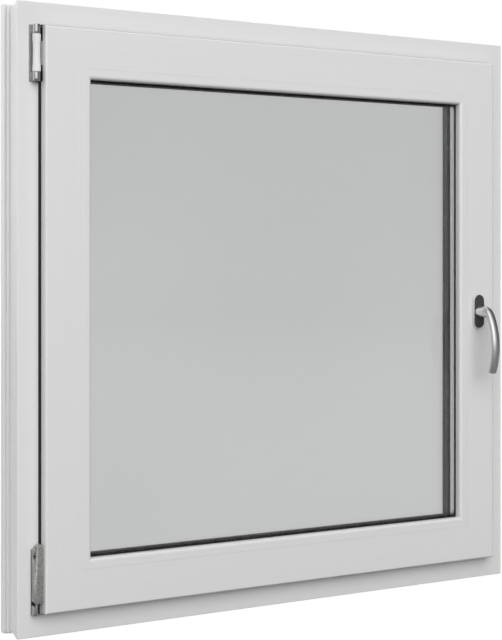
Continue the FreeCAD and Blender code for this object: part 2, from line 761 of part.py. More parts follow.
block("bearing_stop", LEFT_EDGE + " + stop_inset", FACE + " - stop_front",
      "bearing_bottom + bearing_gap",
      ("stop_width", "stop_front - corner_hinge_back", BEARING_TOP + " - stop_margin"))
foot = doc.addObject("Part::Cylinder", "corner_pin")
foot.Label = "corner_pin"
bind(foot, Radius="corner_pin_diameter / 2",
     Height="corner_hinge_bottom - bearing_bottom - bearing_gap + corner_pin_reach - hinge_fit")
place(foot, PIN_ACROSS, PIN_DEPTH, "bearing_bottom + bearing_gap")

# Caps over the drain slots, on the outdoor face of the bottom member

for name, middle in (("drain_cap_left", DRAIN_LEFT), ("drain_cap_right", DRAIN_RIGHT)):
    cap = new_body(name)
    outline = new_sketch(cap, "XZ_Plane", "Outline")
    draw(outline, rounded([
        ("0", "0", "drain_cap_round"),
        ("drain_cap_width", "0", "drain_cap_round"),
        ("drain_cap_width", "drain_cap_height", "drain_cap_round"),
        ("0", "drain_cap_height", "drain_cap_round"),
    ]))
    pad(cap, outline, "drain_cap_thickness", backwards=True)
    cap_front = worth("drain_cap_thickness")
    ease(cap, "drain_cap_ease", lambda box: box.YMin > cap_front - TOUCH)
    place(cap, LEFT_EDGE + " + " + middle + " - drain_cap_width / 2", "rib_width / 2",
          "drain_cap_level - drain_cap_height / 2")

# Every piece is checked before any is written

doc.recompute()
for thing in doc.Objects:
    if "Invalid" in thing.State or "Error" in thing.State:
        raise ValueError("%s failed: %s" % (thing.Name, thing.State))
pieces = [thing for thing in doc.Objects
          if thing.TypeId in ("PartDesign::Body", "Part::Cylinder")]
for piece in pieces:
    if piece.Shape.isNull() or not piece.Shape.isValid():
        raise ValueError("%s has no valid shape" % piece.Label)
os.makedirs("parts", exist_ok=True)
for piece in pieces:
    piece.Shape.exportStep("parts/%s.step" % piece.Label)
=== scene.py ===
import json
import math

import bmesh
import bpy
from bpy.props import FloatProperty, FloatVectorProperty, PointerProperty
from mathutils import Matrix, Vector


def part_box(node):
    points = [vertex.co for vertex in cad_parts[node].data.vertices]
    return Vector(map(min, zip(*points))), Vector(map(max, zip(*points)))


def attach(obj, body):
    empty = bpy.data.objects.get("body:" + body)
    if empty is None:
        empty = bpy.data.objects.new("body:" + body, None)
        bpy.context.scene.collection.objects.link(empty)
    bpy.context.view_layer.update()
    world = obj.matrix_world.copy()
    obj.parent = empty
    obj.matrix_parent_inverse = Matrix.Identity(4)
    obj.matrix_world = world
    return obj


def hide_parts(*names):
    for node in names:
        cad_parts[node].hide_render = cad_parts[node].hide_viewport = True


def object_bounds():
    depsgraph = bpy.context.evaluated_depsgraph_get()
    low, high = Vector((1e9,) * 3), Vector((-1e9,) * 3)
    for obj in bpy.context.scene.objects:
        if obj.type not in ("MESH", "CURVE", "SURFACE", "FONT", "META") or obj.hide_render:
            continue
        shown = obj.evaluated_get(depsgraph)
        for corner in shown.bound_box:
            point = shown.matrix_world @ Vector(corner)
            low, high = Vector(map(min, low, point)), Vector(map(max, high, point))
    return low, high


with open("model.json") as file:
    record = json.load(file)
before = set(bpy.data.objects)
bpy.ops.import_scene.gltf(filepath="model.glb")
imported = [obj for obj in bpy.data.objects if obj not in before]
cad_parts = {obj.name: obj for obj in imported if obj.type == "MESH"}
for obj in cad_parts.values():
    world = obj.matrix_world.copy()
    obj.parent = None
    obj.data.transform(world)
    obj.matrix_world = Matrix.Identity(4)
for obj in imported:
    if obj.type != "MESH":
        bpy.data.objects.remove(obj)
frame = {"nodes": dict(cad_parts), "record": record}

bl_info = {
    "name": "Tilt and Turn Window",
    "version": (1, 0, 0),
    "blender": (4, 5, 0),
    "location": "3D View > Sidebar > Window",
    "description": "Finishes and fine pieces of a white tilt and turn window",
    "category": "Object",
}

CAD_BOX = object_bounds()
NODES = frame["nodes"]
PIVOT = Vector(frame["record"]["behaviour"]["joints"][0]["pos_m"])

# The middle of the window, which the softbox is turned to, and the softbox's own place.
WINDOW_MIDDLE = Vector((0, 0, 0.5))
KEY_PLACE = Vector((-1.3, -7.0, 4.7))

# Light of the room by compass direction in degrees, 0 in front of the window, 90 at its right.
ROOM_LIGHT = [
    (-180, 1.9), (-108, 2.0), (-98, 0.45), (-62, 0.5), (-50, 1.55), (-20, 1.55), (0, 0.75),
    (20, 0.35), (45, 0.12), (92, 0.06), (110, 0.6), (140, 1.5), (180, 1.9),
]

# Refractive index of rigid PVC and of polyamide, and of float glass.
PLASTIC_IOR = 1.53
GLASS_IOR = 1.52

# Sides of round pieces and holes, and steps of a rounded end, of the elbow and of the grip.
ROUND_SIDES = 64
LEVER_SIDES = 48
DRILL_SIDES = 24
END_STEPS = 4
ELBOW_STEPS = 16
GRIP_STEPS = 40

# Depth of the drilled holes, and the distance within which points are one, in metres.
HOLE_DEPTH = 0.006
SAME_POINT = 0.00001


def linear(hex_colour):
    """An sRGB hex colour as the linear colour that a node takes."""
    channels = []
    for start in (0, 2, 4):
        value = int(hex_colour[start:start + 2], 16) / 255
        if value <= 0.04045:
            channels.append(value / 12.92)
        else:
            channels.append(((value + 0.055) / 1.055) ** 2.4)
    return (*channels, 1.0)


def length(name, description, default):
    """A length in metres that a user can change."""
    return FloatProperty(name=name, description=description, default=default,
                         min=0.0, soft_max=1.0, precision=4, subtype="DISTANCE", unit="LENGTH")


def colour(name, description, hex_colour):
    """A colour that a user can change."""
    return FloatVectorProperty(name=name, description=description, subtype="COLOR", size=4,
                               min=0.0, max=1.0, default=linear(hex_colour))


class ProfileSettings(bpy.types.PropertyGroup):
    """Colours of the profiles, seals and glazing."""
    pvc: colour("PVC", "White of the extruded profiles", "E2E2E2")
    rubber: colour("Rubber", "Black of the seals and gaskets", "1E1E1E")
    glass: colour("Outer pane", "Faint grey tint of the outer pane", "D2D3D3")
    clear_glass: colour("Inner pane", "Clear glass of the inner pane", "FCFCFC")
    spacer: colour("Spacer", "Aluminium of the spacer bar", "E4E4E4")
    lip_radius: length("Lip rounding", "Radius of the glazing gaskets' lips", 0.0008)
    inner_lip_reach: length("Inner lip", "How far the inner gasket's lip reaches out", 0.001)
    outer_lip_cut: length("Outer lip", "How far the outer gasket's lip is drawn back", 0.0008)
    shoulder_radius: length("Shoulders", "Radius of the spacer bar's shoulders", 0.0024)
    spacer_growth: length("Spacer", "How much nearer to the sight line the spacer stands", 0.0038)
    line_spacing: length("Die lines", "Drawn spacing of the hair lines along a profile", 0.0012)


class HandleSettings(bpy.types.PropertyGroup):
    """Sizes and colours of the lever and its rosette."""
    neck_diameter: length("Neck", "Diameter of the round neck", 0.022)
    neck_start: length("Neck start", "Distance of the neck's end from the stile", 0.0081)
    elbow_radius: length("Elbow", "Radius of the elbow's centre line", 0.0176)
    projection: length("Projection", "Furthest distance of the grip's centre line", 0.0513)
    bow_radius: length("Bow", "Radius of the grip's centre line", 0.1235)
    bow_drop: length("Bow drop", "How far below the spindle the bow projects most", 0.064)
    drop: length("Drop", "How far below the spindle the lever ends", 0.1114)
    grip_width: length("Grip width", "Width of the oval grip at the elbow", 0.0180)
    grip_thickness: length("Grip thickness", "Thickness of the grip at the elbow", 0.0134)
    end_width: length("End width", "Width of the grip at its end", 0.0172)
    end_thickness: length("End thickness", "Thickness of the grip at its end", 0.0128)
    end_round: length("End rounding", "Radius of the rounded ends of the lever", 0.0016)
    rosette_edge: length("Rosette edge", "Radius of the rosette's front edge", 0.0014)
    cover_edge: length("Cover edge", "Radius of the cover's front edge", 0.0004)
    metal: colour("Handle", "Satin anodised aluminium", "E8E8E9")
    cover: colour("Cover", "Dark moulded cover of the rosette", "3D3D3D")


class HingeSettings(bpy.types.PropertyGroup):
    """Sizes and colours of the two hinges."""
    waist: length("Waist", "How much slimmer the sleeve's middle is on each side", 0.0006)
    sleeve_ring: length("Sleeve ring", "Length of the sleeve's wide ends", 0.0085)
    ring_edge: length("Ring edge", "Radius of the edges of caps and sleeve", 0.0005)
    casting_edge: length("Casting edge", "Radius of the edges of the corner hinge", 0.0006)
    top_chamfer: length("Top chamfer", "Slanted upper corner of the corner hinge", 0.004)
    foot_chamfer: length("Foot chamfer", "Slanted lower corner of the corner hinge", 0.002)
    front_chamfer: length("Front chamfer", "Slanted front edges of the corner hinge", 0.00125)
    column: length("Column", "Width of the bearing's column, and height of its slant", 0.0035)
    bearing_base: length("Bearing base", "Thickness of the bearing's base", 0.0016)
    adjuster: length("Adjuster", "Diameter of the adjusting screw's hole", 0.0064)
    pin_hole: length("Pin holes", "Diameter of the two small holes", 0.00256)
    plated: colour("Plated caps", "Bright nickel of the hinge caps", "BEBEBE")
    sleeve: colour("Sleeve", "White polyamide of the sleeve", "E6E6E6")
    steel: colour("Steel", "Galvanised steel of plate, arm and pins", "BEBEBD")
    dark_steel: colour("Dark steel", "Phosphated steel of the corner plate", "3A3A3A")
    casting: colour("Casting", "Die-cast zinc of the corner hinge", "B6B6B4")


class StageSettings(bpy.types.PropertyGroup):
    """Light, floor and camera."""
    floor: colour("Floor", "Pale studio floor", "767676")
    floor_glow: FloatProperty(name="Floor white", default=0.86, min=0.0, max=1.0,
                              description="White that only the camera sees on the floor")
    floor_size: length("Floor size", "Half of the floor's side", 40.0)
    room_light: FloatProperty(name="Room light", default=1.0, min=0.0,
                              description="Strength of the soft light from the room around")
    ceiling_light: FloatProperty(name="Ceiling", default=0.7, min=0.0,
                                 description="Share of the room's light that falls from above")
    glass_view: FloatProperty(name="View through glass", default=0.83, min=0.0, max=1.0,
                              description="White that is seen through the panes")
    key_power: FloatProperty(name="Key light", default=430.0, min=0.0, unit="POWER",
                             description="Power of the softbox in front, above on the left")
    key_size: length("Key size", "Side of the softbox", 8.0)
    camera_left: length("Camera left", "How far left of the window's middle it stands", 1.5845)
    camera_front: length("Camera front", "How far in front of the window it stands", 2.3973)
    camera_height: length("Camera height", "Height of the camera over the floor", 0.5914)
    camera_turn: FloatProperty(name="Camera turn", default=math.radians(32.99), subtype="ANGLE",
                               description="How far right of straight ahead the camera looks")
    focal_length: FloatProperty(name="Focal length", default=91.95, min=1.0,
                                description="Focal length in millimetres on a 36 mm sensor")
    camera_shift: FloatProperty(name="Camera shift", default=-0.0916,
                                description="Share of the picture's height it is shifted by")


def add_node(tree, kind, settings=None, inputs=None):
    """Add a node, set its own settings, and set or link its inputs by name or number."""
    node = tree.nodes.new(kind)
    for name, value in (settings or {}).items():
        setattr(node, name, value)
    for name, value in (inputs or {}).items():
        if isinstance(value, bpy.types.NodeSocket):
            tree.links.new(value, node.inputs[name])
        else:
            node.inputs[name].default_value = value
    return node


def new_material(name, main_colour, roughness, metallic=0.0):
    """A material, its node tree, its shader and the place on the object that patterns read."""
    material = bpy.data.materials.new(name)
    material.use_nodes = True
    material.diffuse_color = main_colour
    tree = material.node_tree
    shader = tree.nodes["Principled BSDF"]
    shader.inputs["Base Color"].default_value = main_colour
    shader.inputs["Roughness"].default_value = roughness
    shader.inputs["Metallic"].default_value = metallic
    place = add_node(tree, "ShaderNodeTexCoord").outputs["Object"]
    return material, tree, shader, place


def shade(main_colour, factor):
    """A colour made a little lighter or darker."""
    return tuple(min(1.0, channel * factor) for channel in main_colour[:3]) + (1.0,)


def grain(tree, shader, place, scale, tones, roughness=None, height=0.0, detail=2.0, shape=0.5):
    """Let one noise vary the colour, the gloss and the height of a surface.

    The scale is in waves a metre along each axis, and the height in metres. A gloss that is the
    same all over stays on the shader, and a flat surface gets no relief.
    """
    stretched = add_node(tree, "ShaderNodeMapping", inputs={"Vector": place, "Scale": scale})
    noise = add_node(tree, "ShaderNodeTexNoise", inputs={
        "Vector": stretched.outputs[0], "Scale": 1.0, "Detail": detail, "Roughness": shape})
    ramp = add_node(tree, "ShaderNodeValToRGB", inputs={"Fac": noise.outputs["Fac"]})
    ramp.color_ramp.elements[0].position = 0.3
    ramp.color_ramp.elements[0].color = tones[0]
    ramp.color_ramp.elements[1].position = 0.7
    ramp.color_ramp.elements[1].color = tones[1]
    tree.links.new(ramp.outputs["Color"], shader.inputs["Base Color"])
    if roughness:
        gloss = add_node(tree, "ShaderNodeMapRange", inputs={
            "Value": noise.outputs["Fac"], "From Min": 0.3, "From Max": 0.7,
            "To Min": roughness[0], "To Max": roughness[1]})
        tree.links.new(gloss.outputs[0], shader.inputs["Roughness"])
    if height:
        relief = add_node(tree, "ShaderNodeBump", inputs={
            "Height": noise.outputs["Fac"], "Strength": 1.0, "Distance": height})
        tree.links.new(relief.outputs[0], shader.inputs["Normal"])


def extruded_pvc(settings, name, along):
    """Rigid PVC pushed through a polished die: an even soft gloss on white.

    Hair lines run the length of each profile. Real ones lie 0.2 mm apart; they are drawn wider
    so that they show, and so faint that they only break up the gloss.
    """
    main = tuple(settings.pvc)
    material, tree, shader, place = new_material(name, main, 0.34)
    shader.inputs["IOR"].default_value = PLASTIC_IOR
    scale = [1 / settings.line_spacing] * 3
    scale["XYZ".index(along)] = 1.5
    grain(tree, shader, place, scale, (shade(main, 0.985), shade(main, 1.01)),
          (0.30, 0.38), 0.000004)
    return material


def moulded_pvc(settings):
    """Injection moulded PVC: white, a little more matt than the extrusion, with a 1 mm grain."""
    main = tuple(settings.pvc)
    material, tree, shader, place = new_material("moulded white PVC", main, 0.45)
    shader.inputs["IOR"].default_value = PLASTIC_IOR
    grain(tree, shader, place, (900, 900, 900), (shade(main, 0.97), shade(main, 1.0)),
          (0.42, 0.5), 0.00002)
    return material


def seal_rubber(settings):
    """Extruded EPDM rubber: matt black with a dusty bloom and a faint leathery grain of 1 mm."""
    main = tuple(settings.rubber)
    material, tree, shader, place = new_material("extruded EPDM rubber", main, 0.62)
    shader.inputs["Specular IOR Level"].default_value = 0.2
    grain(tree, shader, place, (700, 700, 700), (shade(main, 0.8), shade(main, 1.3)),
          (0.55, 0.72), 0.00003)
    return material


def float_glass(name, tint):
    """Float glass: polished by gravity on molten tin, so clear and flat.

    It only shows as a faint grey tint and as soft reflections, which the very long waves of
    the ribbon, 300 mm and more, bend a little.
    """
    material, tree, shader, place = new_material(name, tint, 0.0)
    shader.inputs["IOR"].default_value = GLASS_IOR
    shader.inputs["Transmission Weight"].default_value = 1.0
    grain(tree, shader, place, (2.5, 2.5, 2.5), (shade(tint, 0.99), shade(tint, 1.005)),
          height=0.00002, detail=0.0)
    return material


def spacer_aluminium(settings):
    """Roll-formed aluminium strip: dull silver with rolling lines along the bar, 1 mm apart."""
    main = tuple(settings.spacer)
    material, tree, shader, place = new_material("roll-formed aluminium", main, 0.25, 1.0)
    grain(tree, shader, place, (8, 900, 8), (shade(main, 0.93), shade(main, 1.05)),
          (0.2, 0.3), 0.000004)
    return material


def satin_aluminium(settings):
    """Anodised aluminium, brushed and then etched: a silky sheen that spreads each highlight.

    The brush lines run across the grip, every 0.1 mm; they are drawn at 0.8 mm.
    """
    main = tuple(settings.metal)
    material, tree, shader, place = new_material("satin anodised aluminium", main, 0.3, 1.0)
    grain(tree, shader, place, (60, 60, 1250), (shade(main, 0.96), shade(main, 1.0)),
          (0.28, 0.34), 0.000003)
    return material


def grained_plastic(settings):
    """Moulded polyamide with a spark-eroded grain: dark and matt; its lit specks of about 1 mm are
    painted glints in the colour.
    """
    main = tuple(settings.cover)
    material, tree, shader, place = new_material("spark-grained dark polyamide", main, 0.5)
    shader.inputs["IOR"].default_value = PLASTIC_IOR
    # The noise paints bright specks into the colour as painted glints, over the grain's real
    # relief.
    grain(tree, shader, place, (950, 950, 950), (shade(main, 0.4), shade(main, 1.8)),
          (0.4, 0.6), 0.00012, detail=3.0, shape=0.6)
    return material


def galvanised_steel(settings):
    """Hot-dip zinc on steel strip: grey crystals 3 mm wide, each with its own tone and gloss."""
    main = tuple(settings.steel)
    material, tree, shader, place = new_material("galvanised steel", main, 0.4, 0.9)
    crystals = add_node(tree, "ShaderNodeTexVoronoi", inputs={"Vector": place, "Scale": 320.0})
    tone = add_node(tree, "ShaderNodeValToRGB", inputs={"Fac": crystals.outputs["Color"]})
    tone.color_ramp.elements[0].color = shade(main, 0.8)
    tone.color_ramp.elements[1].color = shade(main, 1.05)
    gloss = add_node(tree, "ShaderNodeMapRange", inputs={
        "Value": crystals.outputs["Distance"], "To Min": 0.3, "To Max": 0.5})
    tree.links.new(tone.outputs["Color"], shader.inputs["Base Color"])
    tree.links.new(gloss.outputs[0], shader.inputs["Roughness"])
    return material


def nickel_plate(settings):
    """Bright nickel on turned steel: nearly a mirror, with turning marks round the barrel."""
    main = tuple(settings.plated)
    material, tree, shader, place = new_material("bright nickel plate", main, 0.12, 1.0)
    grain(tree, shader, place, (40, 40, 1500), (shade(main, 0.95), shade(main, 1.0)),
          (0.09, 0.16), 0.000002)
    return material


def moulded_polyamide(settings):
    """Moulded white polyamide: milky and glossy, with flow marks a few millimetres long."""
    main = tuple(settings.sleeve)
    material, tree, shader, place = new_material("moulded white polyamide", main, 0.3)
    shader.inputs["IOR"].default_value = PLASTIC_IOR
    grain(tree, shader, place, (350, 350, 120), (shade(main, 0.96), shade(main, 1.0)),
          (0.24, 0.36), 0.00001)
    return material


def cast_zinc(settings):
    """Tumbled zinc die casting: mottled grey in patches of 2 to 3 mm, dull with small glints."""
    main = tuple(settings.casting)
    material, tree, shader, place = new_material("tumbled zinc die casting", main, 0.45, 0.75)
    grain(tree, shader, place, (420, 420, 420), (shade(main, 0.5), shade(main, 1.35)),
          (0.32, 0.6), 0.00018, detail=4.0, shape=0.7)
    return material


def phosphated_steel(settings):
    """Phosphated steel strip: a dark grey, oil-soaked crystal coat, dull, in patches of 4 mm."""
    main = tuple(settings.dark_steel)
    material, tree, shader, place = new_material("phosphated steel", main, 0.55, 0.4)
    grain(tree, shader, place, (250, 250, 250), (shade(main, 0.7), shade(main, 1.3)),
          (0.45, 0.65), 0.00002)
    return material


def finish_node(name, material):
    """Give a CAD node its finish."""
    mesh = NODES[name].data
    mesh.materials.clear()
    mesh.materials.append(material)


def finish_piece(name, bm, material, body, replaced):
    """Turn a bmesh into a piece of the window that takes the place of CAD nodes."""
    bmesh.ops.recalc_face_normals(bm, faces=bm.faces)
    mesh = bpy.data.meshes.new(name)
    bm.to_mesh(mesh)
    bm.free()
    mesh.materials.append(material)
    piece = bpy.data.objects.new(name, mesh)
    bpy.context.scene.collection.objects.link(piece)
    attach(piece, body)
    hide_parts(*replaced)
    return piece


def smooth_by_angle(bm, limit):
    """Smooth the faces, and keep the edges sharper than the limit, in radians."""
    for face in bm.faces:
        face.smooth = True
    for edge in bm.edges:
        if len(edge.link_faces) == 2 and edge.calc_face_angle() > limit:
            edge.smooth = False


def ease_edges(bm, edges, radius, segments=3):
    """Round edges to a radius with a few flat steps."""
    bmesh.ops.bevel(bm, geom=edges, offset=radius, offset_type="OFFSET", segments=segments,
                    profile=0.5, affect="EDGES", clamp_overlap=True, material=-1)


def lever_section(heading, out, down, width, thickness):
    """The place of a circle one metre wide that becomes one section of the lever."""
    travel = Vector((0, -math.cos(heading), -math.sin(heading)))
    upright = Vector((0, -math.sin(heading), math.cos(heading)))
    facing = Matrix((Vector((1, 0, 0)), upright, travel)).transposed().to_4x4()
    middle = PIVOT + Vector((0, -out, -down))
    return Matrix.Translation(middle) @ facing @ Matrix.Diagonal((width, thickness, 1, 1))


def lever_run(settings):
    """Sections of the lever from the neck's rounded end through elbow and bow to its tip.

    Each is its heading in radians, its distance out and down, its width and its thickness.
    """
    bow = settings.bow_radius
    elbow = settings.elbow_radius
    top = math.asin((settings.bow_drop - elbow) / (bow - elbow))
    tip = math.asin((settings.drop - settings.bow_drop) / bow)
    centre = settings.projection - bow
    elbow_out = centre + (bow - elbow) * math.cos(top)
    neck = settings.neck_diameter
    sections = []
    for step in range(END_STEPS + 1):
        angle = math.pi / 2 * step / END_STEPS
        inset = 2 * settings.end_round * (1 - math.sin(angle))
        out = settings.neck_start + settings.end_round * (1 - math.cos(angle))
        sections.append((0.0, out, 0.0, neck - inset, neck - inset))
    turn = math.pi / 2 - top
    for step in range(ELBOW_STEPS + 1):
        part = step / ELBOW_STEPS
        heading = turn * part
        blend = part * part * (3 - 2 * part)
        sections.append((heading, elbow_out + elbow * math.sin(heading),
                         elbow * (1 - math.cos(heading)),
                         neck + (settings.grip_width - neck) * blend,
                         neck + (settings.grip_thickness - neck) * blend))
    for step in range(1, GRIP_STEPS + 1):
        part = step / GRIP_STEPS
        angle = top - (top + tip) * part
        sections.append((math.pi / 2 - angle, centre + bow * math.cos(angle),
                         settings.bow_drop - bow * math.sin(angle),
                         settings.grip_width + (settings.end_width - settings.grip_width) * part,
                         settings.grip_thickness
                         + (settings.end_thickness - settings.grip_thickness) * part))
    heading, out, down, width, thickness = sections.pop()
    for step in range(END_STEPS + 1):
        angle = math.pi / 2 * step / END_STEPS
        inset = 2 * settings.end_round * (1 - math.cos(angle))
        back = settings.end_round * (1 - math.sin(angle))
        sections.append((heading, out - back * math.cos(heading),
                         down - back * math.sin(heading), width - inset, thickness - inset))
    return sections


class WINDOW_OT_handle_lever(bpy.types.Operator):
    """Sweep the lever: round neck, elbow and bowed oval grip with rounded ends"""
    bl_idname = "tilt_turn.handle_lever"
    bl_label = "Handle lever"

    def execute(self, context):
        settings = context.scene.window_handle
        bm = bmesh.new()
        sections = lever_run(settings)
        bmesh.ops.create_circle(bm, cap_ends=True, segments=LEVER_SIDES, radius=0.5)
        ring = list(bm.edges)
        place = lever_section(*sections[0])
        bmesh.ops.transform(bm, matrix=place, verts=bm.verts)
        for section in sections[1:]:
            following = lever_section(*section)
            grown = bmesh.ops.extrude_edge_only(bm, edges=ring)["geom"]
            verts = [part for part in grown if isinstance(part, bmesh.types.BMVert)]
            ring = [part for part in grown if isinstance(part, bmesh.types.BMEdge)]
            bmesh.ops.transform(bm, matrix=following @ place.inverted(), verts=verts)
            place = following
        bmesh.ops.contextual_create(bm, geom=ring)
        smooth_by_angle(bm, math.radians(40))
        finish_piece("satin_lever", bm, satin_aluminium(settings), "handle",
                     ["handle_lever"])
        return {"FINISHED"}


def stadium_plate(node, edge, segments):
    """An upright plate with round ends in a node's box, its front edge rounded."""
    low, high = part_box(node)
    middle = (low + high) / 2
    radius = (high.x - low.x) / 2
    straight = (high.z - low.z) / 2 - radius
    bm = bmesh.new()
    bmesh.ops.create_circle(bm, cap_ends=True, segments=ROUND_SIDES, radius=radius)
    bmesh.ops.rotate(bm, verts=bm.verts, cent=(0, 0, 0),
                     matrix=Matrix.Rotation(math.radians(90 + 180 / ROUND_SIDES), 3, "X"))
    bmesh.ops.translate(bm, verts=bm.verts, vec=(middle.x, high.y, middle.z))
    for vert in bm.verts:
        vert.co.z += straight if vert.co.z > middle.z else -straight
    grown = bmesh.ops.extrude_face_region(bm, geom=list(bm.faces))["geom"]
    front = [part for part in grown if isinstance(part, bmesh.types.BMVert)]
    bmesh.ops.translate(bm, verts=front, vec=(0, low.y - high.y, 0))
    front_edges = [part for part in grown if isinstance(part, bmesh.types.BMEdge)]
    ease_edges(bm, front_edges, edge, segments)
    smooth_by_angle(bm, math.radians(35))
    return bm


class WINDOW_OT_handle_rosette(bpy.types.Operator):
    """Make the silver rosette and the dark grained cover in front of it"""
    bl_idname = "tilt_turn.handle_rosette"
    bl_label = "Handle rosette"

    def execute(self, context):
        settings = context.scene.window_handle
        bm = stadium_plate("handle_rosette", settings.rosette_edge, 4)
        finish_piece("rosette_body", bm, satin_aluminium(settings), "window",
                     ["handle_rosette"])
        bm = stadium_plate("rosette_cover", settings.cover_edge, 3)
        finish_piece("rosette_face", bm, grained_plastic(settings), "window",
                     ["rosette_cover"])
        finish_node("handle_spindle", galvanised_steel(context.scene.window_hinge))
        return {"FINISHED"}


def turned(profile, middle):
    """Spin a half section, points of radius and height, about an upright axis into a solid."""
    bm = bmesh.new()
    verts = [bm.verts.new((middle.x + radius, middle.y, height)) for radius, height in profile]
    for first, second in zip(verts, verts[1:] + verts[:1]):
        bm.edges.new((first, second))
    bmesh.ops.spin(bm, geom=list(bm.verts) + list(bm.edges), cent=middle, axis=(0, 0, 1),
                   angle=math.radians(360), steps=ROUND_SIDES, use_merge=True)
    return bm


def hinge_cap(node, axis, edge):
    """A cap in a node's box: round in front, square at the back, with eased ends.

    Behind a fifth of the radius, the round is drawn to two back corners at 0.84 of the radius.
    """
    low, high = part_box(node)
    radius = (high.x - low.x) / 2
    bm = bmesh.new()
    bmesh.ops.create_circle(bm, cap_ends=True, segments=ROUND_SIDES, radius=radius)
    bmesh.ops.translate(bm, verts=bm.verts, vec=(axis.x, axis.y, low.z))
    for vert in bm.verts:
        if vert.co.y > axis.y + radius * 0.2:
            vert.co.x = axis.x + math.copysign(radius * 0.84, vert.co.x - axis.x)
            vert.co.y = high.y
    bmesh.ops.remove_doubles(bm, verts=bm.verts, dist=SAME_POINT)
    grown = bmesh.ops.extrude_face_region(bm, geom=list(bm.faces))["geom"]
    top = [part for part in grown if isinstance(part, bmesh.types.BMVert)]
    bmesh.ops.translate(bm, verts=top, vec=(0, 0, high.z - low.z))
    ends = [rim for rim in bm.edges if abs(rim.verts[0].co.z - rim.verts[1].co.z) < edge]
    ease_edges(bm, ends, edge)
    smooth_by_angle(bm, math.radians(35))
    return bm


class WINDOW_OT_top_hinge(bpy.types.Operator):
    """Turn the waisted sleeve and the plated caps, and finish plate, arm and pin"""
    bl_idname = "tilt_turn.top_hinge"
    bl_label = "Top hinge"

    def execute(self, context):
        settings = context.scene.window_hinge
        pin_low, pin_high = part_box("hinge_pin")
        axis = (pin_low + pin_high) / 2
        bore = (pin_high.x - pin_low.x) / 2
        low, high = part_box("stay_sleeve")
        wide = (high.x - low.x) / 2
        slim = wide - settings.waist
        edge = settings.ring_edge
        ring = settings.sleeve_ring
        middle = (low.z + high.z) / 2
        bm = turned([
            (bore, low.z), (wide - edge, low.z), (wide, low.z + edge), (wide, low.z + ring),
            (slim, low.z + 1.5 * ring), (slim - edge / 2, middle), (slim, high.z - 1.5 * ring),
            (wide, high.z - ring), (wide, high.z - edge), (wide - edge, high.z), (bore, high.z),
        ], axis)
        smooth_by_angle(bm, math.radians(30))
        finish_piece("sleeve_moulding", bm, moulded_polyamide(settings), "window",
                     ["stay_sleeve"])
        plated = nickel_plate(settings)
        for node, name in (("hinge_top_cap", "upper_cap"), ("hinge_bottom_cap", "lower_cap")):
            bm = hinge_cap(node, axis, edge)
            finish_piece(name, bm, plated, "window", [node])
        steel = galvanised_steel(settings)
        for node in ("hinge_plate", "stay_arm", "hinge_pin"):
            finish_node(node, steel)
        return {"FINISHED"}


def add_bar(bm, low, high):
    """Add a bar between two corners."""
    verts = bmesh.ops.create_cube(bm, size=1.0)["verts"]
    bmesh.ops.scale(bm, verts=verts, vec=high - low)
    bmesh.ops.translate(bm, verts=verts, vec=(low + high) / 2)


def cut_corner(bm, point, normal):
    """Cut away what lies beyond a slanted plane and close the cut."""
    geom = list(bm.verts) + list(bm.edges) + list(bm.faces)
    cut = bmesh.ops.bisect_plane(bm, geom=geom, plane_co=point, plane_no=normal,
                                 clear_outer=True)["geom_cut"]
    rim = [part for part in cut if isinstance(part, bmesh.types.BMEdge)]
    bmesh.ops.contextual_create(bm, geom=rim)


def drill(piece, place, diameter, turn):
    """Cut a round hole 6 mm deep at a place, with an upright drill laid over about one axis."""
    cutter = bmesh.new()
    bmesh.ops.create_cone(cutter, cap_ends=True, segments=DRILL_SIDES, radius1=diameter / 2,
                          radius2=diameter / 2, depth=2 * HOLE_DEPTH)
    bmesh.ops.rotate(cutter, verts=cutter.verts, cent=(0, 0, 0),
                     matrix=Matrix.Rotation(math.radians(90), 3, turn))
    bmesh.ops.translate(cutter, verts=cutter.verts, vec=place)
    mesh = bpy.data.meshes.new("drill")
    cutter.to_mesh(mesh)
    cutter.free()
    tool = bpy.data.objects.new("drill", mesh)
    bpy.context.scene.collection.objects.link(tool)
    boolean = piece.modifiers.new("Holes", "BOOLEAN")
    boolean.operation = "DIFFERENCE"
    boolean.solver = "EXACT"
    boolean.object = tool
    depsgraph = bpy.context.evaluated_depsgraph_get()
    cut = bpy.data.meshes.new_from_object(piece.evaluated_get(depsgraph))
    piece.modifiers.clear()
    old = piece.data
    piece.data = cut
    cut.name = piece.name
    bpy.data.meshes.remove(old)
    bpy.data.objects.remove(tool)
    bpy.data.meshes.remove(mesh)


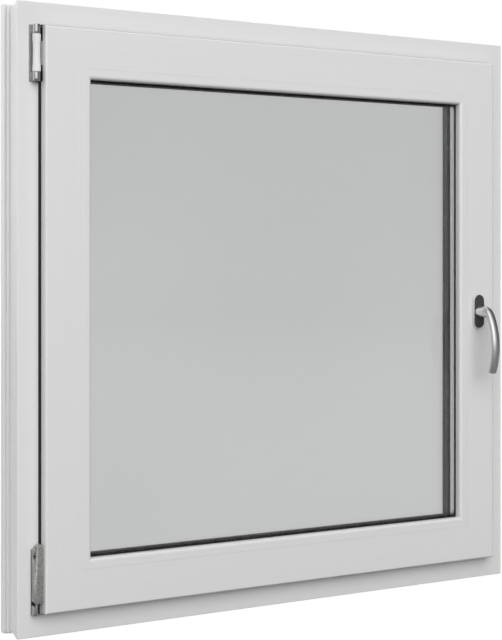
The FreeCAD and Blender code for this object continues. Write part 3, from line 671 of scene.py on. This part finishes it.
class WINDOW_OT_corner_hinge(bpy.types.Operator):
    """Model the die-cast corner hinge, its bearing and its pin"""
    bl_idname = "tilt_turn.corner_hinge"
    bl_label = "Corner hinge"

    def execute(self, context):
        settings = context.scene.window_hinge
        casting = cast_zinc(settings)
        low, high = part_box("corner_hinge")
        top, foot, front = settings.top_chamfer, settings.foot_chamfer, settings.front_chamfer
        bm = bmesh.new()
        add_bar(bm, low, high)
        cut_corner(bm, (low.x + top, low.y, high.z - top), (-1, 0, 1))
        cut_corner(bm, (low.x + foot, low.y, low.z + foot), (-1, 0, -1))
        cut_corner(bm, (low.x + front, low.y + front, low.z), (-1, -1, 0))
        cut_corner(bm, (low.x, low.y + front, high.z - front), (0, -1, 1))
        ease_edges(bm, list(bm.edges), settings.casting_edge, 2)
        smooth_by_angle(bm, math.radians(50))
        piece = finish_piece("corner_casting", bm, casting, "window",
                             ["corner_hinge"])
        # The adjusting screw's hole, the small one in the front above it, and the foot's.
        drill(piece, (low.x, low.y + 0.0035, high.z - 0.019), settings.adjuster, "Y")
        drill(piece, (low.x + 0.0028, low.y, high.z - 0.0056), settings.pin_hole, "X")
        drill(piece, (low.x, low.y + 0.0095, low.z + 0.0115), settings.pin_hole, "Y")
        low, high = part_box("corner_bearing")
        column = low.x + settings.column
        bm = bmesh.new()
        add_bar(bm, low, Vector((column, high.y, high.z)))
        cut_corner(bm, (column, low.y, high.z - settings.column), (0.7, 0, 1))
        ease_edges(bm, list(bm.edges), settings.casting_edge, 2)
        add_bar(bm, low, Vector((high.x, high.y, low.z + settings.bearing_base)))
        smooth_by_angle(bm, math.radians(50))
        finish_piece("bearing_casting", bm, casting, "window",
                     ["corner_bearing"])
        for node in ("bearing_stop", "corner_pin"):
            finish_node(node, casting)
        finish_node("corner_plate", phosphated_steel(settings))
        return {"FINISHED"}


def square_ring(section):
    """A mitred square ring round the window's middle with the given closed section.

    Each point of the section is its distance in from the frame's outside, and its depth.
    """
    bm = bmesh.new()
    bmesh.ops.create_circle(bm, cap_ends=False, segments=4, radius=math.sqrt(0.5))
    bmesh.ops.rotate(bm, verts=bm.verts, cent=(0, 0, 0), matrix=Matrix.Rotation(
        math.radians(90), 3, "X") @ Matrix.Rotation(math.radians(45), 3, "Z"))
    middle = (CAD_BOX[0].z + CAD_BOX[1].z) / 2
    half = (CAD_BOX[1].x - CAD_BOX[0].x) / 2
    ring = first = list(bm.edges)
    verts = list(bm.verts)
    place = Matrix.Identity(4)
    for number, (inset, depth) in enumerate(section):
        if number:
            grown = bmesh.ops.extrude_edge_only(bm, edges=ring)["geom"]
            verts = [part for part in grown if isinstance(part, bmesh.types.BMVert)]
            ring = [part for part in grown if isinstance(part, bmesh.types.BMEdge)]
        size = 2 * (half - inset)
        following = Matrix.Translation((0, depth, middle)) @ Matrix.Diagonal((size, 1, size, 1))
        bmesh.ops.transform(bm, matrix=following @ place.inverted(), verts=verts)
        place = following
    bmesh.ops.bridge_loops(bm, edges=ring + first)
    return bm


def rounded_section(outer, inner, front, back, radius, segments=4):
    """A section whose two inner corners are rounded: a lip, or the shoulders of a spacer."""
    section = [(outer, front)]
    for step in range(segments + 1):
        angle = math.pi / 2 * step / segments
        section.append((inner - radius * (1 - math.sin(angle)),
                        front + radius * (1 - math.cos(angle))))
    for step in range(segments + 1):
        angle = math.pi / 2 * step / segments
        section.append((inner - radius * (1 - math.cos(angle)),
                        back - radius * (1 - math.sin(angle))))
    section.append((outer, back))
    return section


class WINDOW_OT_glazing_edge(bpy.types.Operator):
    """Make the rounded lips of the glazing gaskets and the shouldered spacer bar"""
    bl_idname = "tilt_turn.glazing_edge"
    bl_label = "Gaskets and spacer"

    def execute(self, context):
        settings = context.scene.window_profiles
        rubber = seal_rubber(settings)
        edge = CAD_BOX[0].x
        # The cut is how far the inner side stands back from the node's, towards the frame.
        for node, name, cut, radius, finish, slot in (
                ("glazing_gasket_inside", "inner_lip", -settings.inner_lip_reach,
                 settings.lip_radius, rubber, "gasket_rubber"),
                ("glazing_gasket_outside", "outer_lip", settings.outer_lip_cut,
                 settings.lip_radius, rubber, "gasket_rubber"),
                ("spacer_bar", "spacer_profile", -settings.spacer_growth,
                 settings.shoulder_radius, spacer_aluminium(settings), "spacer_aluminium")):
            low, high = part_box(node)
            corner = min(vert.co.x for vert in NODES[node].data.vertices if vert.co.x > 0)
            outer = low.x - edge
            inner = -edge - corner - cut
            bm = square_ring(rounded_section(outer, inner, low.y, high.y, radius))
            smooth_by_angle(bm, math.radians(40))
            finish_piece(name, bm, finish, "window", [node])
        return {"FINISHED"}


class WINDOW_OT_profiles(bpy.types.Operator):
    """Finish frame, sash, beads, seals and glazing"""
    bl_idname = "tilt_turn.profiles"
    bl_label = "Profiles and glazing"

    def execute(self, context):
        settings = context.scene.window_profiles
        level = extruded_pvc(settings, "extruded PVC level", "X")
        upright = extruded_pvc(settings, "extruded PVC upright", "Z")
        rubber = seal_rubber(settings)
        for family in ("frame", "sash", "bead"):
            for side in ("bottom", "top"):
                finish_node("%s_%s" % (family, side), level)
            for side in ("left", "right"):
                finish_node("%s_%s" % (family, side), upright)
        for node in ("lip_seal", "leg_seal", "edge_seal"):
            finish_node(node, rubber)
        clear, grey = tuple(settings.clear_glass), tuple(settings.glass)
        finish_node("glass_inner_pane", float_glass("clear float glass", clear))
        finish_node("glass_outer_pane", float_glass("grey float glass", grey))
        moulded = moulded_pvc(settings)
        for node in ("drain_cap_left", "drain_cap_right"):
            finish_node(node, moulded)
        return {"FINISHED"}


def studio_floor(settings):
    """Painted pale floor: the camera sees it white, and the shadow of the window stays on it.

    Seen through the panes it is a shade brighter near the window, and from 14 m on as bright as
    the backdrop, so that no horizon shows.
    """
    main = tuple(settings.floor)
    material, tree, shader, place = new_material("pale studio floor", main, 0.9)
    grain(tree, shader, place, (6, 6, 6), (shade(main, 0.99), shade(main, 1.0)), (0.88, 0.92))
    path = add_node(tree, "ShaderNodeLightPath")
    glow = add_node(tree, "ShaderNodeMath", {"operation": "MULTIPLY"},
                    {0: path.outputs["Is Camera Ray"], 1: settings.floor_glow})
    shader.inputs["Emission Color"].default_value = (1, 1, 1, 1)
    tree.links.new(glow.outputs[0], shader.inputs["Emission Strength"])
    distance = add_node(tree, "ShaderNodeVectorMath", {"operation": "LENGTH"}, {0: place})
    fade = add_node(tree, "ShaderNodeMapRange", inputs={
        "Value": distance.outputs["Value"], "From Min": 2.0, "From Max": 14.0,
        "To Min": settings.glass_view * 1.04, "To Max": settings.glass_view})
    through = add_node(tree, "ShaderNodeEmission", inputs={"Strength": fade.outputs[0]})
    seen = add_node(tree, "ShaderNodeMixShader", inputs={
        0: path.outputs["Is Transmission Ray"], 1: shader.outputs[0], 2: through.outputs[0]})
    tree.links.new(seen.outputs[0], tree.nodes["Material Output"].inputs["Surface"])
    return material


def studio_room(settings):
    """The room's light, by compass direction: a soft lit front, darker sides, a white backdrop.

    The camera sees white in every direction, and through the panes a pale grey that darkens a
    little upwards, as the panes do.
    """
    world = bpy.data.worlds.new("studio room")
    world.use_nodes = True
    tree = world.node_tree
    light = tree.nodes["Background"]
    split = add_node(tree, "ShaderNodeSeparateXYZ", inputs={
        0: add_node(tree, "ShaderNodeTexCoord").outputs["Generated"]})
    forward = add_node(tree, "ShaderNodeMath", {"operation": "MULTIPLY"},
                       {0: split.outputs["Y"], 1: -1.0})
    compass = add_node(tree, "ShaderNodeMath", {"operation": "ARCTAN2"},
                       {0: split.outputs["X"], 1: forward.outputs[0]})
    turn = add_node(tree, "ShaderNodeMapRange", inputs={
        "Value": compass.outputs[0], "From Min": -math.pi, "From Max": math.pi})
    ring = add_node(tree, "ShaderNodeValToRGB", inputs={"Fac": turn.outputs[0]})
    stops = ring.color_ramp.elements
    for degrees, strength in ROOM_LIGHT[1:-1]:
        stops.new((degrees + 180) / 360).color = (strength, strength, strength, 1)
    stops[0].color = stops[-1].color = (*[ROOM_LIGHT[0][1]] * 3, 1)
    ceiling = add_node(tree, "ShaderNodeMapRange", {"interpolation_type": "SMOOTHSTEP"}, {
        "Value": split.outputs["Z"], "From Min": 0.4, "From Max": 0.95,
        "To Min": settings.room_light, "To Max": settings.room_light * settings.ceiling_light})
    tree.links.new(ring.outputs["Color"], light.inputs["Color"])
    tree.links.new(ceiling.outputs[0], light.inputs["Strength"])
    haze = add_node(tree, "ShaderNodeMapRange", inputs={
        "Value": split.outputs["Z"], "From Min": 0.0, "From Max": 0.11,
        "To Min": settings.glass_view, "To Max": settings.glass_view * 0.945})
    path = add_node(tree, "ShaderNodeLightPath")
    through = add_node(tree, "ShaderNodeBackground", inputs={
        "Color": (1, 1, 1, 1), "Strength": haze.outputs[0]})
    white = add_node(tree, "ShaderNodeBackground", inputs={"Color": (1, 1, 1, 1), "Strength": 1.0})
    glazed = add_node(tree, "ShaderNodeMixShader", inputs={
        0: path.outputs["Is Transmission Ray"], 1: light.outputs[0], 2: through.outputs[0]})
    seen = add_node(tree, "ShaderNodeMixShader", inputs={
        0: path.outputs["Is Camera Ray"], 1: glazed.outputs[0], 2: white.outputs[0]})
    tree.links.new(seen.outputs[0], tree.nodes["World Output"].inputs["Surface"])
    return world


class WINDOW_OT_stage(bpy.types.Operator):
    """Set up the pale floor, the soft light and the camera"""
    bl_idname = "tilt_turn.stage"
    bl_label = "Stage"

    def execute(self, context):
        settings = context.scene.window_stage
        bm = bmesh.new()
        bmesh.ops.create_grid(bm, x_segments=1, y_segments=1, size=settings.floor_size)
        mesh = bpy.data.meshes.new("floor")
        bm.to_mesh(mesh)
        bm.free()
        mesh.materials.append(studio_floor(settings))
        floor = bpy.data.objects.new("floor", mesh)
        context.scene.collection.objects.link(floor)
        context.scene.world = studio_room(settings)

        lamp = bpy.data.lights.new("key softbox", "AREA")
        lamp.shape = "SQUARE"
        lamp.size = settings.key_size
        lamp.energy = settings.key_power
        key = bpy.data.objects.new("key softbox", lamp)
        key.location = KEY_PLACE
        key.rotation_euler = (WINDOW_MIDDLE - KEY_PLACE).to_track_quat("-Z", "Y").to_euler()
        key.visible_glossy = False
        context.scene.collection.objects.link(key)

        lens = bpy.data.cameras.new("camera")
        lens.sensor_width = 36
        lens.lens = settings.focal_length
        lens.shift_y = settings.camera_shift
        camera = bpy.data.objects.new("camera", lens)
        camera.location = (-settings.camera_left, -settings.camera_front, settings.camera_height)
        camera.rotation_euler = (math.radians(90), 0, -settings.camera_turn)
        context.scene.collection.objects.link(camera)
        context.scene.camera = camera
        context.scene.view_settings.view_transform = "Standard"
        return {"FINISHED"}


class WINDOW_PT_panel(bpy.types.Panel):
    """Buttons and settings of the window's pieces"""
    bl_label = "Tilt and Turn Window"
    bl_idname = "WINDOW_PT_panel"
    bl_space_type = "VIEW_3D"
    bl_region_type = "UI"
    bl_category = "Window"

    def draw(self, context):
        for operator, holder in STEPS:
            box = self.layout.box()
            box.operator(operator.bl_idname)
            settings = getattr(context.scene, holder)
            for name in settings.__annotations__:
                box.prop(settings, name)


STEPS = [
    (WINDOW_OT_stage, "window_stage"),
    (WINDOW_OT_profiles, "window_profiles"),
    (WINDOW_OT_glazing_edge, "window_profiles"),
    (WINDOW_OT_handle_rosette, "window_handle"),
    (WINDOW_OT_handle_lever, "window_handle"),
    (WINDOW_OT_top_hinge, "window_hinge"),
    (WINDOW_OT_corner_hinge, "window_hinge"),
]

HOLDERS = {
    "window_profiles": ProfileSettings,
    "window_handle": HandleSettings,
    "window_hinge": HingeSettings,
    "window_stage": StageSettings,
}


def register():
    """Register the settings, the operators and the panel."""
    for name, settings in HOLDERS.items():
        bpy.utils.register_class(settings)
        setattr(bpy.types.Scene, name, PointerProperty(type=settings))
    for operator, holder in STEPS:
        bpy.utils.register_class(operator)
    bpy.utils.register_class(WINDOW_PT_panel)


def unregister():
    """Take the panel, the operators and the settings away again."""
    bpy.utils.unregister_class(WINDOW_PT_panel)
    for operator, holder in reversed(STEPS):
        bpy.utils.unregister_class(operator)
    for name, settings in HOLDERS.items():
        delattr(bpy.types.Scene, name)
        bpy.utils.unregister_class(settings)


def main():
    """Make every piece in order."""
    register()
    for operator, holder in STEPS:
        module, action = operator.bl_idname.split(".")
        getattr(getattr(bpy.ops, module), action)()
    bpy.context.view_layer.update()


if __name__ == "__main__":
    main()
